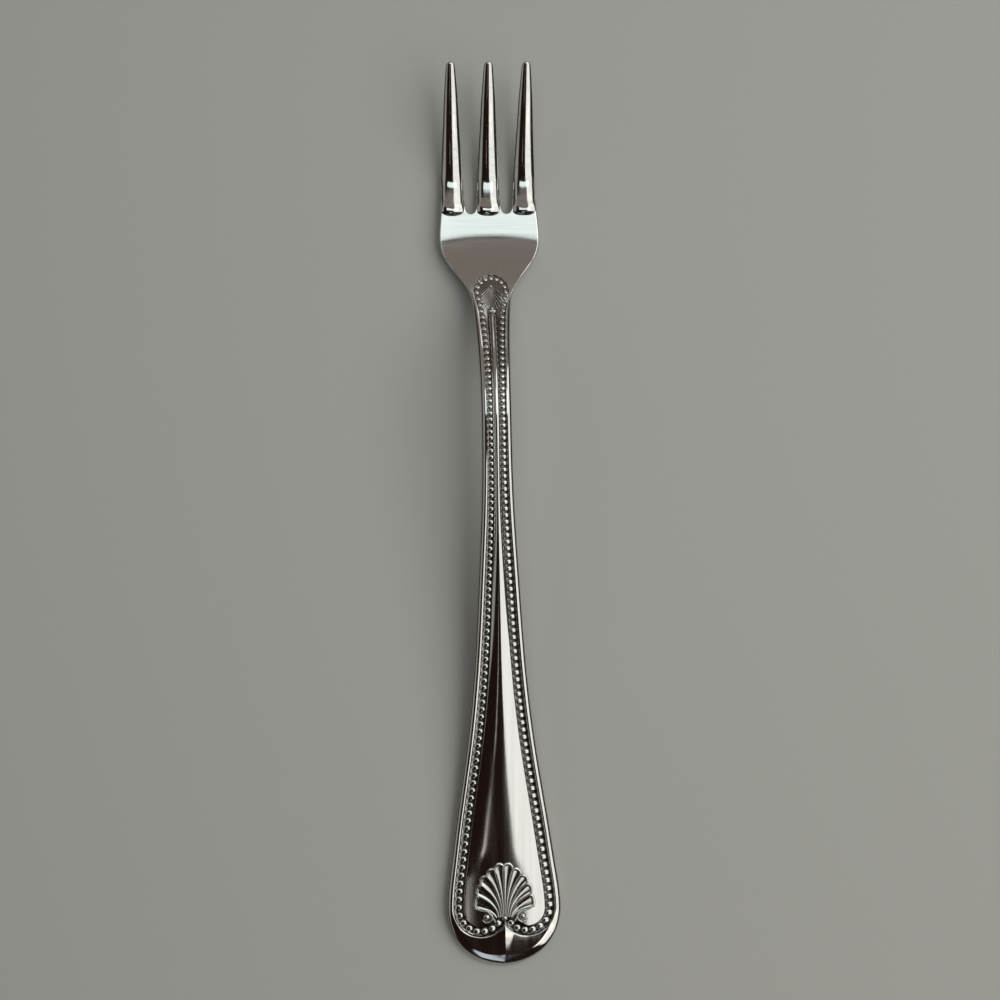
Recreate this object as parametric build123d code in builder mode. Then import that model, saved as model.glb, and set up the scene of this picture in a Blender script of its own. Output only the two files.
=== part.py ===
from build123d import *
from math import acos, atan, cos, degrees, pi, radians, sin, sqrt, tan
import os

os.makedirs("parts", exist_ok=True)

# The fork lies on a table: +Y runs to the tine tips, +X to the right, +Z up, in millimetres and degrees.
# The origin is on the table, under the middle of the fork's length.
overall_length = 145.0

# Outline seen from above: full widths, and how far from the handle's end or from the tine tips each is met
handle_width = 18.4
grip_width = 15.1
grip_from_end = 22.5
waist_width = 11.4
waist_from_end = 34.7
upper_width = 8.4
upper_from_end = 47.9
shank_width = 6.25
shank_from_end = 63.5
stem_width = 4.46
stem_from_tip = 58.5
throat_width = 4.94
throat_from_tip = 45.0
neck_width = 5.7
neck_from_tip = 39.3
neck_lean = 0.12
flare_width = 6.9
flare_from_tip = 36.2
shoulder_width = 10.9
shoulder_from_tip = 33.1
cheek_width = 14.8
cheek_from_tip = 30.3
head_width = 16.15
head_from_tip = 24.9
root_lean = -0.04

# Side view: where the strip bends, how steeply it runs and how thick it is
bend_from_end = 22.5
bend_radius = 120.0
handle_angle = 6.6
crest_radius = 30.0
neck_angle = 24.0
belly_from_tip = 26.0
belly_radius = 33.0
tine_angle = 25.0
end_thickness = 2.0
grip_thickness = 2.2
stem_thickness = 2.9
palm_thickness = 2.0
tip_thickness = 0.9
edge_round = 0.45

# Sunk border, from the wide end to the stem, and how far its cusp lies beyond the end's centre
rim_at_end = 0.95
rim_at_stem = 0.62
channel_at_end = 1.7
channel_at_stem = 1.05
border_depth = 0.45
cusp_drop = 2.5

# Beads in the border
bead_at_end = 1.12
bead_at_stem = 0.84
bead_spacing = 1.18
bead_height_share = 0.46
bead_waist_share = 0.55
bead_waist_width = 0.82
bead_crown_width = 0.42
bead_sides = 8
bead_clearance = 0.1

# Crowned panel inside the beads, which narrows to a rib, and the keel on the plain tip
panel_edge = 0.2
crown_at_end = 0.55
crown_at_stem = 0.38
rib_at_neck = 1.2
rib_top_gap = 0.6
panel_steps = 14
panel_trim_allowance = 1.15
keel_height = 0.5
keel_half_width = 6.5
keel_tip_half_width = 2.0
keel_end_gap = 0.8

# Neck ornament: an arch with beads, and a fan of ribs that opens towards the handle
arch_from_tip = 35.9
arch_radius = 2.7
arch_bead = 0.74
arch_bead_inset = 0.55
fan_rise = 1.0
fan_ribs = 7
fan_reach = 3.2
fan_spread = 46.0
fan_hub = 0.5
fan_rib_share = 0.7
fan_height = 0.4
head_split_gap = 0.9

# Shell on the handle's end
shell_drop = 1.1
lobes_each_side = 5
lobe_pitch = 14.3
shell_reach = 8.6
shell_reach_step = 0.83
shell_height = 0.42
flute_depth = 0.24
flute_start_depth = 0.12
flute_rim = 0.26
flute_start = 1.6
flute_share = 0.85
scroll_radius = 0.68
scroll_offset = 2.85

# Tines
tine_spacing = 5.82
slot_width = 1.88
slot_depth = 23.2
tine_tip_spread = 0.12
tine_mid_width = 3.12
tine_mid_from_tip = 13.0
tine_fore_width = 2.25
tine_fore_from_tip = 5.5
tine_nose_width = 1.6
tine_nose_from_tip = 1.9
tine_tip_width = 1.0
tine_crown = 0.28
tine_shoulder = 0.55
root_nose_length = 0.8
root_nose_tiers = [(0.0, 1.0), (0.55, 0.78), (1.0, 0.25)]

# How ornaments stand off the metal, how far joined forms reach into it, and cutters past it
seat_gap = 0.02
embed = 0.3
overreach = 3.0

# Places along the fork that follow from these sizes
half_length = overall_length / 2
end_radius = handle_width / 2
end_center = end_radius - half_length
grip_place = grip_from_end - half_length
waist_place = waist_from_end - half_length
upper_place = upper_from_end - half_length
shank_place = shank_from_end - half_length
stem_place = half_length - stem_from_tip
throat_place = half_length - throat_from_tip
neck_place = half_length - neck_from_tip
rib_top_place = neck_place - rib_top_gap
arch_place = half_length - arch_from_tip
fan_place = arch_place + fan_rise
head_split = arch_place + arch_radius + head_split_gap
flare_place = half_length - flare_from_tip
shoulder_place = half_length - shoulder_from_tip
cheek_place = half_length - cheek_from_tip
head_place = half_length - head_from_tip
bend_place = bend_from_end - half_length
belly_place = half_length - belly_from_tip
shell_place = end_center - shell_drop
slot_radius = slot_width / 2
slot_offset = tine_spacing / 2
root_place = half_length - slot_depth + slot_radius
tine_root_width = tine_spacing - slot_width
clear_height = overall_length / 4

# Corners of the bent strip in side view, as (place along Y, height)
half_belly = radians(neck_angle + tine_angle) / 2
belly_lean = radians(tine_angle - neck_angle) / 2
belly_corner = (
    belly_place + belly_radius * sin(belly_lean) / cos(half_belly),
    belly_radius - belly_radius * cos(belly_lean) / cos(half_belly),
)
handle_slope = tan(radians(handle_angle))
neck_slope = tan(radians(neck_angle))
tine_slope = tan(radians(tine_angle))
crest_rise = belly_corner[1] + neck_slope * belly_corner[0] + handle_slope * bend_place
crest_place = crest_rise / (handle_slope + neck_slope)
crest_corner = (crest_place, handle_slope * (crest_place - bend_place))
tip_height = belly_corner[1] + tine_slope * (half_length - belly_corner[0])


def strip_line(lift):
    """A long line of the strip in side view; lift is its height over the underside at each corner."""
    corners = [
        (-half_length, lift[0]),
        (bend_place, lift[1]),
        (crest_corner[0], crest_corner[1] + lift[2]),
        (belly_corner[0], belly_corner[1] + lift[3]),
        (half_length, tip_height + lift[4]),
    ]
    radii = [bend_radius - lift[1], crest_radius + lift[2], belly_radius - lift[3]]
    return FilletPolyline(*corners, radius=radii)


def top_line(rise):
    thickness = [end_thickness, grip_thickness, stem_thickness, palm_thickness, tip_thickness]
    return strip_line([value + rise for value in thickness])


underside = strip_line([0.0, 0.0, 0.0, 0.0, 0.0])
topside = top_line(0.0)
border_floor = top_line(-border_depth)
above_metal = top_line(overreach)


halvings = 40


def on_line(line, place, along, across):
    """A line's coordinate across, where its coordinate along reaches a place, found by halving."""
    low = 0.0
    high = 1.0
    for _ in range(halvings):
        middle = (low + high) / 2
        if along(line @ middle) < place:
            low = middle
        else:
            high = middle
    return across(line @ low)


def height_on(line, place):
    return on_line(line, place, lambda point: point.X, lambda point: point.Y)


def half_width_on(curve, place):
    return on_line(curve, place, lambda point: point.Y, lambda point: point.X)


def tilt_on(line, place):
    step = 0.05
    rise = height_on(line, place + step) - height_on(line, place - step)
    return degrees(atan(rise / (2 * step)))


def share_of_handle(place):
    """0 at the handle's wide end and 1 from the stem on."""
    return min(max((place - end_center) / (stem_place - end_center), 0.0), 1.0)


def between(at_end, at_stem, place):
    return at_end + (at_stem - at_end) * share_of_handle(place)


def rim_on(place):
    return rim_at_end + (rim_at_stem - rim_at_end) * share_of_handle(place) ** 2


def channel_on(place):
    return channel_at_end + (channel_at_stem - channel_at_end) * share_of_handle(place) ** 2


# Half widths of the outline, from the round end to the neck
handle_stations = [
    (handle_width / 2, end_center),
    (grip_width / 2, grip_place),
    (waist_width / 2, waist_place),
    (upper_width / 2, upper_place),
    (shank_width / 2, shank_place),
    (stem_width / 2, stem_place),
    (throat_width / 2, throat_place),
]


def inset_side(channel_share, neck_half, lean):
    """The handle's side curve, moved inwards by the rim and by a share of the bead channel."""
    points = []
    for half_width, place in handle_stations:
        border_at = half_width - rim_on(place)
        panel_at = border_at - channel_on(place)
        if place > stem_place:
            panel_at = rib_at_neck / 2
        points.append((border_at + channel_share * (panel_at - border_at), place))
    return Spline(*points, (neck_half, neck_place), tangents=[(0, 1), (lean, 1)])


border_neck = neck_width / 2 - rim_at_stem
bead_neck = border_neck - channel_at_stem / 2
border_side = inset_side(0.0, border_neck, neck_lean)
bead_side = inset_side(0.5, bead_neck, neck_lean)
panel_side = inset_side(1.0, rib_at_neck / 2, 0.0)

# The border closes at the wide end in two round lobes that meet in a cusp on the middle line
border_half = end_radius - rim_at_end
lobe_offset = (border_half - cusp_drop**2 / border_half) / 2
border_lobe = border_half - lobe_offset
bead_lobe = border_lobe - channel_at_end / 2
panel_lobe = border_lobe - channel_at_end
cusp_place = end_center - cusp_drop


def crowned_body(low, high, lift):
    """A long body on the border's floor with a crowned top, wider than the panel, to be trimmed to it."""
    with BuildPart() as body:
        for step in range(panel_steps + 1):
            place = low + (high - low) * step / panel_steps
            half = panel_trim_allowance * half_width_on(panel_side, place)
            base = height_on(border_floor, place)
            rise = between(crown_at_end, crown_at_stem, place)
            crown = base + panel_edge + lift + rise
            edge = crown - rise * panel_trim_allowance**2
            with BuildSketch(Plane.XZ.offset(-place)):
                with BuildLine():
                    Polyline((half, edge), (half, base - embed), (-half, base - embed), (-half, edge))
                    ThreePointArc((half, edge), (0, crown), (-half, edge))
                make_face()
        loft()
    return body.part


def panel_height(across, place):
    """Height of the crowned panel at a point on it."""
    half = half_width_on(panel_side, place)
    crown = between(crown_at_end, crown_at_stem, place)
    return height_on(border_floor, place) + panel_edge + crown * (1 - (across / half) ** 2)


# One bead, 1 mm across: a faceted dome in two tiers
with BuildPart() as unit_bead:
    flat_share = cos(pi / bead_sides)
    waist_height = bead_waist_share * bead_height_share
    crown_height = bead_height_share - waist_height
    with BuildSketch(Plane.XY):
        RegularPolygon(radius=0.5, side_count=bead_sides)
    waist_draft = flat_share * (1 - bead_waist_width) / 2
    extrude(amount=waist_height, taper=degrees(atan(waist_draft / waist_height)))
    with BuildSketch(Plane.XY.offset(waist_height)):
        RegularPolygon(radius=bead_waist_width / 2, side_count=bead_sides)
    crown_draft = flat_share * (bead_waist_width - bead_crown_width) / 2
    extrude(amount=crown_height, taper=degrees(atan(crown_draft / crown_height)))


def bead_at(across, place, diameter):
    """A bead that stands on the border's floor."""
    foot = height_on(border_floor, place) + seat_gap
    seat = Location((across, place, foot), (tilt_on(border_floor, place), 0, 0))
    return scale(unit_bead.part, by=diameter).moved(seat)


# The bent blank without its tines, with its edges rounded
with BuildPart() as blank:
    with BuildSketch(Plane.YZ):
        with BuildLine():
            add(underside)
            add(topside)
            Line(underside @ 0, topside @ 0)
            Line(underside @ 1, topside @ 1)
        make_face()
    extrude(amount=handle_width, both=True)
    with BuildSketch(Plane.XY):
        with BuildLine():
            neck_and_head = [
                (neck_width / 2, neck_place),
                (flare_width / 2, flare_place),
                (shoulder_width / 2, shoulder_place),
                (cheek_width / 2, cheek_place),
                (head_width / 2, head_place),
                (tine_spacing + tine_root_width / 2, root_place),
            ]
            side = Spline(*handle_stations, *neck_and_head, tangents=[(0, 1), (root_lean, 1)])
            front = Line(side @ 1, (0, root_place))
            RadiusArc(side @ 0, (-end_radius, end_center), end_radius)
            mirror(side, about=Plane.YZ)
            mirror(front, about=Plane.YZ)
        make_face()
    extrude(amount=clear_height, both=True, mode=Mode.INTERSECT)
    long_edges = blank.edges().filter_by(Axis.X, reverse=True).filter_by(Axis.Z, reverse=True)
    fillet(long_edges, radius=edge_round)

# The hollow that is sunk into the handle inside its rim
with BuildPart() as border_hollow:
    with BuildSketch(Plane.YZ):
        with BuildLine():
            add(border_floor)
            add(above_metal)
            Line(border_floor @ 0, above_metal @ 0)
            Line(border_floor @ 1, above_metal @ 1)
        make_face()
    extrude(amount=handle_width, both=True)
    with BuildSketch(Plane.XY):
        with BuildLine():
            add(border_side)
            lobe_low = (lobe_offset, end_center - border_lobe)
            lobe = ThreePointArc(border_side @ 0, lobe_low, (0, cusp_place))
            arch_foot = (arch_radius, arch_place)
            neck_edge = Spline(border_side @ 1, arch_foot, tangents=[(neck_lean, 1), (0, 1)])
            RadiusArc(arch_foot, (-arch_radius, arch_place), -arch_radius)
            mirror(border_side, about=Plane.YZ)
            mirror(lobe, about=Plane.YZ)
            mirror(neck_edge, about=Plane.YZ)
        make_face()
    extrude(amount=clear_height, both=True, mode=Mode.INTERSECT)

# The crowned panel and rib, trimmed to the panel's side curve and to the lobes at the wide end
panel_low = end_center - panel_lobe
panel_blank = crowned_body(panel_low - embed, rib_top_place, 0.0)
with BuildPart() as panel:
    add(panel_blank)
    with BuildSketch(Plane.XY):
        with BuildLine():
            add(panel_side)
            bend = panel_lobe * sqrt(0.5)
            corner_middle = (lobe_offset + bend, end_center - bend)
            corner = ThreePointArc(panel_side @ 0, corner_middle, (lobe_offset, panel_low))
            notch = Line((lobe_offset, panel_low), (0, shell_place))
            Line(panel_side @ 1, (-rib_at_neck / 2, neck_place))
            mirror(panel_side, about=Plane.YZ)
            mirror(corner, about=Plane.YZ)
            mirror(notch, about=Plane.YZ)
        make_face()
    extrude(amount=clear_height, both=True, mode=Mode.INTERSECT)

with BuildPart() as handle:
    add(blank.part)
    split(bisect_by=Plane.XZ.offset(-head_split), keep=Keep.TOP)
    keel_ends = [
        (cusp_place + embed, keel_half_width, keel_height),
        (keel_end_gap - half_length, keel_tip_half_width, 0.0),
    ]
    for place, foot, rise in keel_ends:
        top = height_on(topside, place)
        with BuildSketch(Plane.XZ.offset(-place)):
            with BuildLine():
                Polyline((foot, top - embed), (0, top + rise), (-foot, top - embed), close=True)
            make_face()
    loft(ruled=True)
    add(border_hollow.part, mode=Mode.SUBTRACT)
    add(panel.part)
handle.part.label = "handle"
export_step(handle.part, "parts/handle.step")

# The palm, with the round slot ends and the domed roots of the tines
tine_sides = {"tine_left": -1, "tine_middle": 0, "tine_right": 1}
with BuildPart() as palm:
    add(blank.part)
    split(bisect_by=Plane.XZ.offset(-head_split), keep=Keep.BOTTOM)
    for tine_side in tine_sides.values():
        for back, size in root_nose_tiers:
            place = root_place - back * root_nose_length
            top = height_on(topside, place)
            half = size * tine_root_width / 2
            with BuildSketch(Plane.XZ.offset(-place)):
                with BuildLine():
                    middle = tine_side * tine_spacing
                    left = (middle - half, top - embed)
                    right = (middle + half, top - embed)
                    Line(left, right)
                    ThreePointArc(right, (middle, top + size * tine_crown), left)
                make_face()
        loft()
    with BuildSketch(Plane.XY):
        with Locations((-slot_offset, root_place), (slot_offset, root_place)):
            Circle(slot_radius)
    extrude(amount=clear_height, both=True, mode=Mode.SUBTRACT)
palm.part.label = "palm"
export_step(palm.part, "parts/palm.step")

# The tines: domed on top, tapered to a blunt tip, bent up with the strip
tine_mid_place = half_length - tine_mid_from_tip
tine_stations = [
    (root_place, tine_root_width),
    ((root_place + tine_mid_place) / 2, (tine_root_width + tine_mid_width) / 2),
    (tine_mid_place, tine_mid_width),
    (half_length - tine_fore_from_tip, tine_fore_width),
    (half_length - tine_nose_from_tip, tine_nose_width),
    (half_length, tine_tip_width),
]
for tine_name, tine_side in tine_sides.items():
    with BuildPart() as tine:
        for place, width in tine_stations:
            share = (place - root_place) / (half_length - root_place)
            middle = tine_side * (tine_spacing + tine_tip_spread * share)
            low = height_on(underside, place)
            top = height_on(topside, place) + tine_crown * (1 - share)
            shoulder = low + tine_shoulder * (top - low)
            left = middle - width / 2
            right = middle + width / 2
            with BuildSketch(Plane.XZ.offset(-place)):
                with BuildLine():
                    Polyline((right, shoulder), (right, low), (left, low), (left, shoulder))
                    ThreePointArc((right, shoulder), (middle, top), (left, shoulder))
                make_face()
        loft()
    tine.part.label = tine_name
    export_step(tine.part, f"parts/{tine_name}.step")

# Beads along one border, from the neck down the side and round the lobe
row_beads = []
travel = 0.0
while travel < bead_side.length:
    point = bead_side @ (1 - travel / bead_side.length)
    diameter = between(bead_at_end, bead_at_stem, point.Y)
    row_beads.append(bead_at(point.X, point.Y, diameter))
    travel += bead_spacing * diameter
lobe_end = acos((bead_at_end / 2 + bead_clearance - lobe_offset) / bead_lobe)
turn = (travel - bead_side.length) / bead_lobe
while turn < lobe_end:
    across = lobe_offset + bead_lobe * cos(turn)
    row_beads.append(bead_at(across, end_center - bead_lobe * sin(turn), bead_at_end))
    turn += bead_spacing * bead_at_end / bead_lobe

with BuildPart() as bead_row_right:
    add(row_beads)
bead_row_right.part.label = "bead_row_right"
export_step(bead_row_right.part, "parts/bead_row_right.step")

with BuildPart() as bead_row_left:
    mirror(bead_row_right.part, about=Plane.YZ)
bead_row_left.part.label = "bead_row_left"
export_step(bead_row_left.part, "parts/bead_row_left.step")

# The same beads in smaller size, up the neck and round its arch
arch_path_radius = arch_radius - arch_bead_inset
arch_beads = [bead_at(0, arch_place + arch_path_radius, arch_bead)]
turn = bead_spacing * arch_bead / arch_path_radius
while turn < pi / 2:
    across = arch_path_radius * sin(turn)
    place = arch_place + arch_path_radius * cos(turn)
    arch_beads += [bead_at(across, place, arch_bead), bead_at(-across, place, arch_bead)]
    turn += bead_spacing * arch_bead / arch_path_radius
place = arch_place
while place > neck_place + bead_at_stem:
    share = (place - neck_place) / (arch_place - neck_place)
    across = bead_neck + (arch_path_radius - bead_neck) * share
    arch_beads += [bead_at(across, place, arch_bead), bead_at(-across, place, arch_bead)]
    place -= bead_spacing * arch_bead

with BuildPart() as neck_beads:
    add(arch_beads)
neck_beads.part.label = "neck_beads"
export_step(neck_beads.part, "parts/neck_beads.step")

# The fan at the neck: ribs that open from a point under the arch, seated on the sloping floor
fan_tilt = radians(tilt_on(border_floor, fan_place - fan_reach / 2))
fan_seat = (0, fan_place, height_on(border_floor, fan_place))
fan_plane = Plane(origin=fan_seat, x_dir=(1, 0, 0), z_dir=(0, -sin(fan_tilt), cos(fan_tilt)))
rib_pitch = radians(fan_spread) / (fan_ribs - 1)
handle_clearance = handle.part.moved(Location((0, 0, seat_gap)))
with BuildPart() as neck_shell:
    with BuildSketch(fan_plane.offset(-embed)):
        for rib in range(fan_ribs):
            lean = rib_pitch * (rib - (fan_ribs - 1) / 2)
            half_rib = fan_rib_share * rib_pitch / 2
            with BuildLine():
                first = (fan_reach * sin(lean - half_rib), -fan_reach * cos(lean - half_rib))
                last = (fan_reach * sin(lean + half_rib), -fan_reach * cos(lean + half_rib))
                Polyline((0, 0), first, last, close=True)
            make_face()
        Circle(fan_hub)
    extrude(amount=fan_height + embed)
    add(handle_clearance, mode=Mode.SUBTRACT)
neck_shell.part.label = "neck_shell"
export_step(neck_shell.part, "parts/neck_shell.step")

# The shell on the handle's end: round lobes, each hollowed by a flute, and two scrolls at its foot
half_pitch = tan(radians(lobe_pitch) / 2)
shell_lobes = []
for number in range(lobes_each_side):
    reach = shell_reach - shell_reach_step * number
    lean = radians(lobe_pitch * (number + 0.5))
    shell_lobes += [(-lean, reach), (lean, reach)]


def shell_point(lean, distance):
    return (distance * sin(lean), shell_place + distance * cos(lean))


shell_blank = crowned_body(panel_low, shell_place + shell_reach + embed, shell_height)
with BuildPart() as tip_shell:
    add(shell_blank)
    with BuildSketch(Plane.XY):
        for lean, reach in shell_lobes:
            round_size = reach * half_pitch / (1 + half_pitch)
            ball = shell_point(lean, reach - round_size)
            with Locations(ball):
                Circle(round_size)
            with BuildLine():
                aside = (round_size * cos(lean), -round_size * sin(lean))
                near = (ball[0] - aside[0], ball[1] - aside[1])
                far = (ball[0] + aside[0], ball[1] + aside[1])
                Polyline((0, shell_place), near, far, close=True)
            make_face()
        with BuildLine():
            Polyline(
                (-scroll_offset, shell_place - scroll_radius / 2),
                (scroll_offset, shell_place - scroll_radius / 2),
                (0, shell_place + scroll_radius),
                close=True,
            )
        make_face()
        with Locations((-scroll_offset, shell_place), (scroll_offset, shell_place)):
            Circle(scroll_radius)
    extrude(amount=clear_height, both=True, mode=Mode.INTERSECT)
    for lean, reach in shell_lobes:
        for distance, bite in [(flute_start, flute_start_depth), (reach - flute_rim, flute_depth)]:
            across, place = shell_point(lean, distance)
            size = flute_share * distance * half_pitch
            top = panel_height(across, place) + shell_height
            ray = Plane(
                origin=(across, place, top + size - bite),
                x_dir=(cos(lean), -sin(lean), 0),
                z_dir=(sin(lean), cos(lean), 0),
            )
            with BuildSketch(ray):
                Circle(size)
        loft(mode=Mode.SUBTRACT)
    add(handle_clearance, mode=Mode.SUBTRACT)
tip_shell.part.label = "tip_shell"
export_step(tip_shell.part, "parts/tip_shell.step")
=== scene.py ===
import bmesh
import bpy
import math
import numpy as np
from mathutils import Matrix, Vector


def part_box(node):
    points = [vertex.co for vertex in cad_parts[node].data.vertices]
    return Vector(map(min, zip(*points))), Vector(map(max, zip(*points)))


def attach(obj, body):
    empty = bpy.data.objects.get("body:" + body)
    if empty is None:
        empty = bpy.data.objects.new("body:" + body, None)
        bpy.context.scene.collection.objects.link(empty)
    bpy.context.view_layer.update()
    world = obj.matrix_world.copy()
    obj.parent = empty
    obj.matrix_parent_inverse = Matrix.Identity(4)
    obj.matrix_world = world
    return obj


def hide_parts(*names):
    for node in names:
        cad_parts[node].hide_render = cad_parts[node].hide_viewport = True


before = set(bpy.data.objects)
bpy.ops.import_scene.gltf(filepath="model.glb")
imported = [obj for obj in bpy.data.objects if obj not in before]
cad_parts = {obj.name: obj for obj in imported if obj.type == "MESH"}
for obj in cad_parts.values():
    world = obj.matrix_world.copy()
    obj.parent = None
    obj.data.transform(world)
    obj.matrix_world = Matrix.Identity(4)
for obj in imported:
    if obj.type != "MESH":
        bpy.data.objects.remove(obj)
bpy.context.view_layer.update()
mm = 0.001  # shapes are worked out in millimetres, meshes are in metres
slopeStep = 0.05  # half the length over which a slope is taken
tiny = 1e-6  # keeps a division from meeting zero
print("frame loaded:", len(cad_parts), "nodes")

# places that come from the solids, in millimetres
handleLow, handleHigh = (np.array(corner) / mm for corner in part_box("handle"))
tineLow, tineHigh = (np.array(corner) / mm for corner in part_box("tine_middle"))
sideTineLow, sideTineHigh = (np.array(corner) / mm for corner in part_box("tine_right"))
endY = handleLow[1]
endRadius = handleHigh[0]
endCenterY = endY + endRadius
tipY = tineHigh[1]
rootY = tineLow[1]
rootHalf = tineHigh[0]
tineSpacing = (sideTineLow[0] + sideTineHigh[0]) / 2
rootEdge = tineSpacing + rootHalf


def mix(first, second, share):
    return first + (second - first) * share


def softStep(value):
    t = np.clip(value, 0.0, 1.0)
    return t * t * (3 - 2 * t)


def softCorner(distance, reach):
    # nothing before a corner, the distance past it, and a smooth bend over its reach
    u = np.clip((distance + reach) / (2 * reach), 0.0, 1.0)
    return np.where(distance > reach, distance, 2 * reach * (u**3 - u**4 / 2))


def slopeOf(curve, place):
    return (curve(place + slopeStep) - curve(place - slopeStep)) / (2 * slopeStep)


def splineThrough(stations, startSlope=0.0, endSlope=0.0):
    # smooth curve through a few stations, each a place and the value there
    places, values = np.array(stations, float).T
    gap = np.diff(places)
    count = len(places)
    matrix = np.zeros((count, count))
    right = np.zeros(count)
    matrix[0, 0] = matrix[-1, -1] = 1
    right[0], right[-1] = startSlope, endSlope
    for k in range(1, count - 1):
        matrix[k, k - 1:k + 2] = gap[k], 2 * (gap[k - 1] + gap[k]), gap[k - 1]
        before = gap[k] * (values[k] - values[k - 1]) / gap[k - 1]
        after = gap[k - 1] * (values[k + 1] - values[k]) / gap[k]
        right[k] = 3 * (before + after)
    slope = np.linalg.solve(matrix, right)

    def at(place):
        q = np.clip(place, places[0], places[-1])
        k = np.clip(np.searchsorted(places, q) - 1, 0, count - 2)
        t = (q - places[k]) / gap[k]
        straight = mix(values[k], values[k + 1], t)
        startBow = gap[k] * slope[k] - values[k + 1] + values[k]
        endBow = gap[k] * slope[k + 1] - values[k + 1] + values[k]
        return straight + t * (1 - t) * ((1 - t) * startBow - t * endBow)

    return at


# the bent strip seen from the side, with its angles in degrees
strip = {
    "bendY": -50.0, "bendReach": 11.0, "handleAngle": 6.6,
    "crestY": 21.2, "crestReach": 10.5, "neckAngle": 24.0,
    "bellyY": 46.8, "bellyReach": 18.6, "tineAngle": 25.0,
    "thickEnd": 2.0, "thickBend": 2.2, "thickCrest": 2.9, "thickBelly": 2.0, "thickTip": 0.9,
    "tipThinning": -0.04,
}
handleSlope, neckSlope, tineSlope = (
    math.tan(math.radians(strip[angle])) for angle in ("handleAngle", "neckAngle", "tineAngle")
)
thickStations = (
    (endY, strip["thickEnd"]),
    (strip["bendY"], strip["thickBend"]),
    (strip["crestY"], strip["thickCrest"]),
    (strip["bellyY"], strip["thickBelly"]),
    (tipY, strip["thickTip"]),
)
thickness = splineThrough(thickStations, endSlope=strip["tipThinning"])


def underside(y):
    rise = handleSlope * softCorner(y - strip["bendY"], strip["bendReach"])
    rise = rise - (handleSlope + neckSlope) * softCorner(y - strip["crestY"], strip["crestReach"])
    return rise + (neckSlope + tineSlope) * softCorner(y - strip["bellyY"], strip["bellyReach"])


def topside(y):
    return underside(y) + thickness(y)


# outline from above: half widths over length, and the widths of rim and channel along it
outline = {
    "stations": (
        (-56.5, 8.5), (-50.0, 7.57), (-37.8, 5.7), (-24.6, 4.22), (-9.0, 3.2), (4.0, 2.54), (14.0, 2.38),
        (27.5, 2.6), (33.2, 2.96), (36.3, 3.52), (39.4, 5.45), (42.2, 7.4), (46.8, 8.08),
    ),
    "rootLean": -0.05,
    "rimEnd": 0.95, "rimStem": 0.76,
    "channelEnd": 1.7, "channelStem": 1.05,
    "stemY": 14.0, "throatY": 27.5, "neckY": 32.3,
    "ribThroat": 0.53, "ribNeck": 0.56,
}
sideStations = ((endCenterY, endRadius), *outline["stations"], (rootY, rootEdge))
halfWidth = splineThrough(sideStations, endSlope=outline["rootLean"])


def shareUp(y):
    return np.clip((y - endCenterY) / (outline["stemY"] - endCenterY), 0.0, 1.0)


def rimWidth(y):
    return mix(outline["rimEnd"], outline["rimStem"], shareUp(y) ** 2)


def channelWidth(y):
    return mix(outline["channelEnd"], outline["channelStem"], shareUp(y) ** 2)


panelStations = [
    (y, half - rimWidth(y) - channelWidth(y)) for y, half in sideStations if y <= outline["stemY"]
]
panelStations += [(outline["throatY"], outline["ribThroat"]), (outline["neckY"], outline["ribNeck"])]
panelHalf = splineThrough(panelStations)


def edgeDistance(x, y):
    flank = (halfWidth(y) - np.abs(x)) / np.sqrt(1 + slopeOf(halfWidth, y) ** 2)
    cap = endRadius - np.hypot(x, y - endCenterY)
    return np.maximum(np.where(y < endCenterY, cap, flank), 0.0)


# meshes are gathered as grids of points, each point with a share of darkening that is patina in part and
# painted shade in part, and welded afterwards;
# the reaches of the weld are in metres
weld = {"reach": 1e-7, "sliver": 1e-8, "sharpAngle": 50.0}


def newSheet():
    return {"points": [], "faces": [], "hollow": [], "count": 0}


def stacked(*parts):
    return np.stack(np.broadcast_arrays(*parts), -1)


def raised(plan, height):
    return np.concatenate([plan, height[..., None]], -1)


def laidOn(surface, plan):
    return raised(plan, surface(plan[..., 0], plan[..., 1]))


def ribbon(start, end, shares):
    # points between two lines; every row has the same shares, or a row of its own
    return start[:, None, :] + (end - start)[:, None, :] * np.asarray(shares)[..., None]


def addGrid(sheet, points, hollow=0.0, around=False):
    rows, cols = points.shape[:2]
    index = sheet["count"] + np.arange(rows * cols).reshape(rows, cols)
    if around:
        index = np.hstack([index, index[:, :1]])
    quads = np.stack([index[:-1, :-1], index[:-1, 1:], index[1:, 1:], index[1:, :-1]], -1)
    sheet["points"].append(points.reshape(-1, 3))
    sheet["faces"].append(quads.reshape(-1, 4))
    sheet["hollow"].append(np.broadcast_to(hollow, (rows, cols)).reshape(-1))
    sheet["count"] += rows * cols


def addTube(sheet, rings, hollow):
    # rings of points, closed around and at both ends
    addGrid(sheet, rings, hollow=hollow, around=True)
    for ring in (rings[0], rings[-1]):
        middle = np.broadcast_to(ring.mean(0), ring.shape)
        addGrid(sheet, np.stack([ring, middle]), around=True)


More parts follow.
